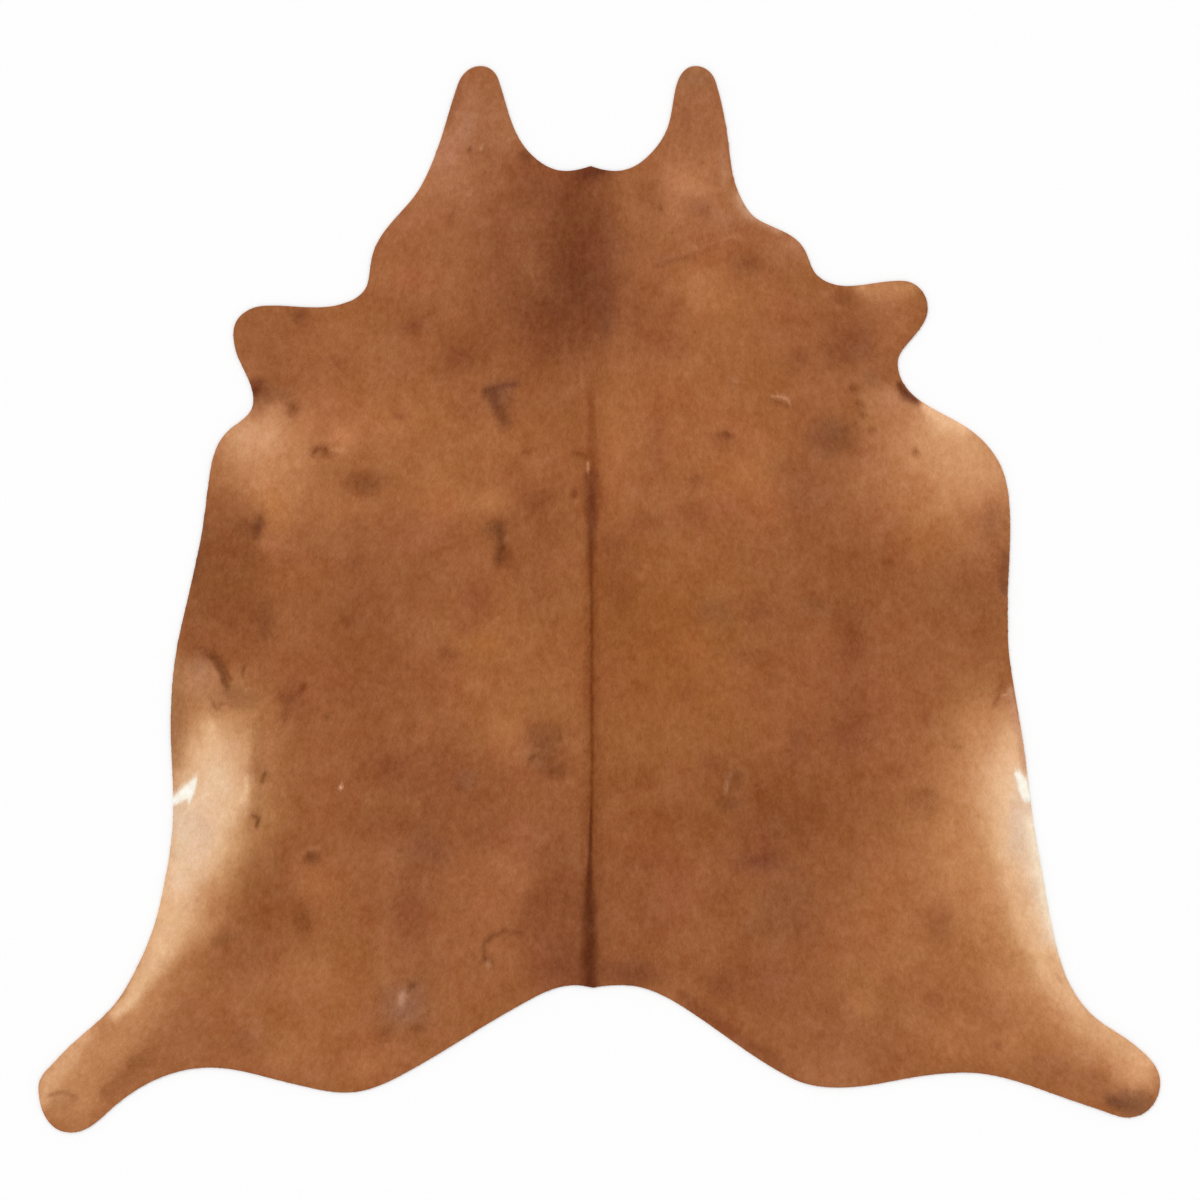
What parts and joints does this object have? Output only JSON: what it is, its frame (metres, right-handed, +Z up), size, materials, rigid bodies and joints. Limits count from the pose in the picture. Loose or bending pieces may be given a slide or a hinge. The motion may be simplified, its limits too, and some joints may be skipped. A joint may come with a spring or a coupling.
{
  "type": "cowhide rug",
  "caption": "Whole hair-on cowhide laid flat as a rug: caramel brown coat, dark line down the backbone, pale flanks, natural outline with neck lobes, short fore shanks and long hind shanks.",
  "frame": {"origin": "middle of the hide's box, on the floor under the hide", "axes": "+Z up out of the hair side, +Y along the backbone towards the neck, +X to the right as seen from above with the neck at the top"},
  "size_m": [2.245, 2.135, 0.005],
  "materials": {
    "coat": "short lying cattle hair, caramel brown with a soft sheen",
    "suede": "pale brushed suede on the flesh side and the cut edge"
  },
  "bodies": {
    "root": {"hide": "coat"}
  },
  "joints": []
}
